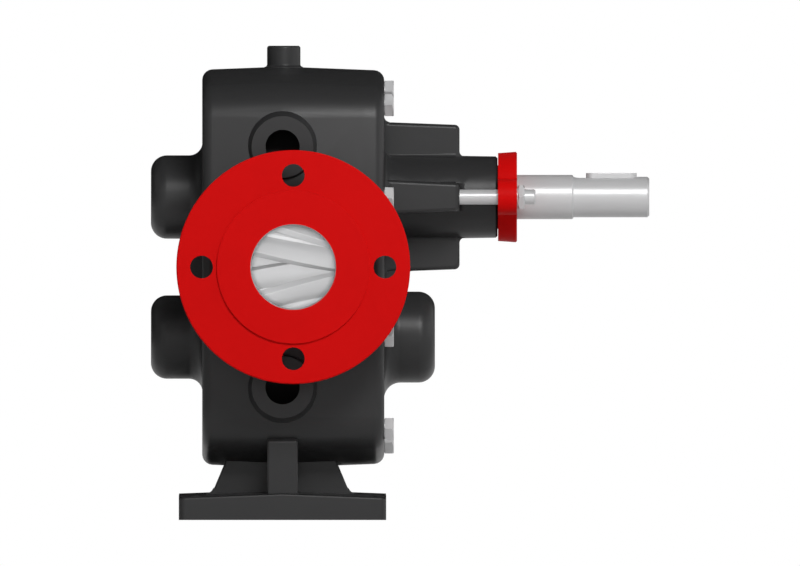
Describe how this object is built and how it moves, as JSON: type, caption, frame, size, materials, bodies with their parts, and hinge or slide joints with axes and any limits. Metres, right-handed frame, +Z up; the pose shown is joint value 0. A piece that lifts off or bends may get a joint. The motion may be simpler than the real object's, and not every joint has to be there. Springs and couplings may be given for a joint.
{
  "type": "helical gear pump",
  "caption": "Horizontal helical gear pump with flanged side ports, heating jacket ports, packed gland, keyed drive shaft and a cast foot.",
  "frame": {"origin": "centre of the foot's underside, at the middle of the four foot bolt holes", "axes": "+X along the shafts towards the drive end, -Y towards the inlet port and +Y towards the outlet port, +Z up"},
  "size_m": [0.394, 0.3, 0.375],
  "materials": {
    "black_paint": "satin",
    "red_paint": "satin",
    "machined_steel": "satin",
    "spring_steel": "satin",
    "bronze": "satin",
    "graphite_packing": "matte",
    "seal_rubber": "matte"
  },
  "bodies": {
    "stator": {"casing": "black_paint", "front_cover": "black_paint", "cover_seal": "seal_rubber", "cover_bolts": "machined_steel", "dowel_pins": "machined_steel", "rear_drive_bush": "bronze", "front_drive_bush": "bronze", "rear_driven_bush": "bronze", "front_driven_bush": "bronze", "throat_bush": "bronze", "packing_rings": "graphite_packing", "gland_studs": "machined_steel", "inlet_flange": "red_paint", "outlet_flange": "red_paint", "port_seals": "seal_rubber", "vent_plug": "machined_steel"},
    "drive_rotor": {"drive_shaft": "machined_steel", "drive_gear": "machined_steel", "drive_gear_key": "machined_steel", "drive_gear_clips": "spring_steel", "coupling_key": "machined_steel"},
    "driven_rotor": {"driven_shaft": "machined_steel", "driven_gear": "machined_steel", "driven_gear_key": "machined_steel", "driven_gear_clips": "spring_steel"},
    "gland": {"packing_gland": "red_paint", "gland_nuts": "machined_steel"}
  },
  "joints": [
    {"name": "drive_shaft_turn", "type": "hinge", "parent": "stator", "child": "drive_rotor", "pos_m": [0, 0, 0.25535], "axis": [1, 0, 0], "continuous": true},
    {"name": "driven_shaft_turn", "type": "hinge", "parent": "stator", "child": "driven_rotor", "pos_m": [0, 0, 0.14465], "axis": [1, 0, 0], "continuous": true},
    {"name": "gland_slide", "type": "slide", "parent": "stator", "child": "gland", "axis": [1, 0, 0], "range_m": [0, 0.008]}
  ],
  "couplings": [
    {"joint": "driven_shaft_turn", "follows": "drive_shaft_turn", "ratio": -1}
  ]
}
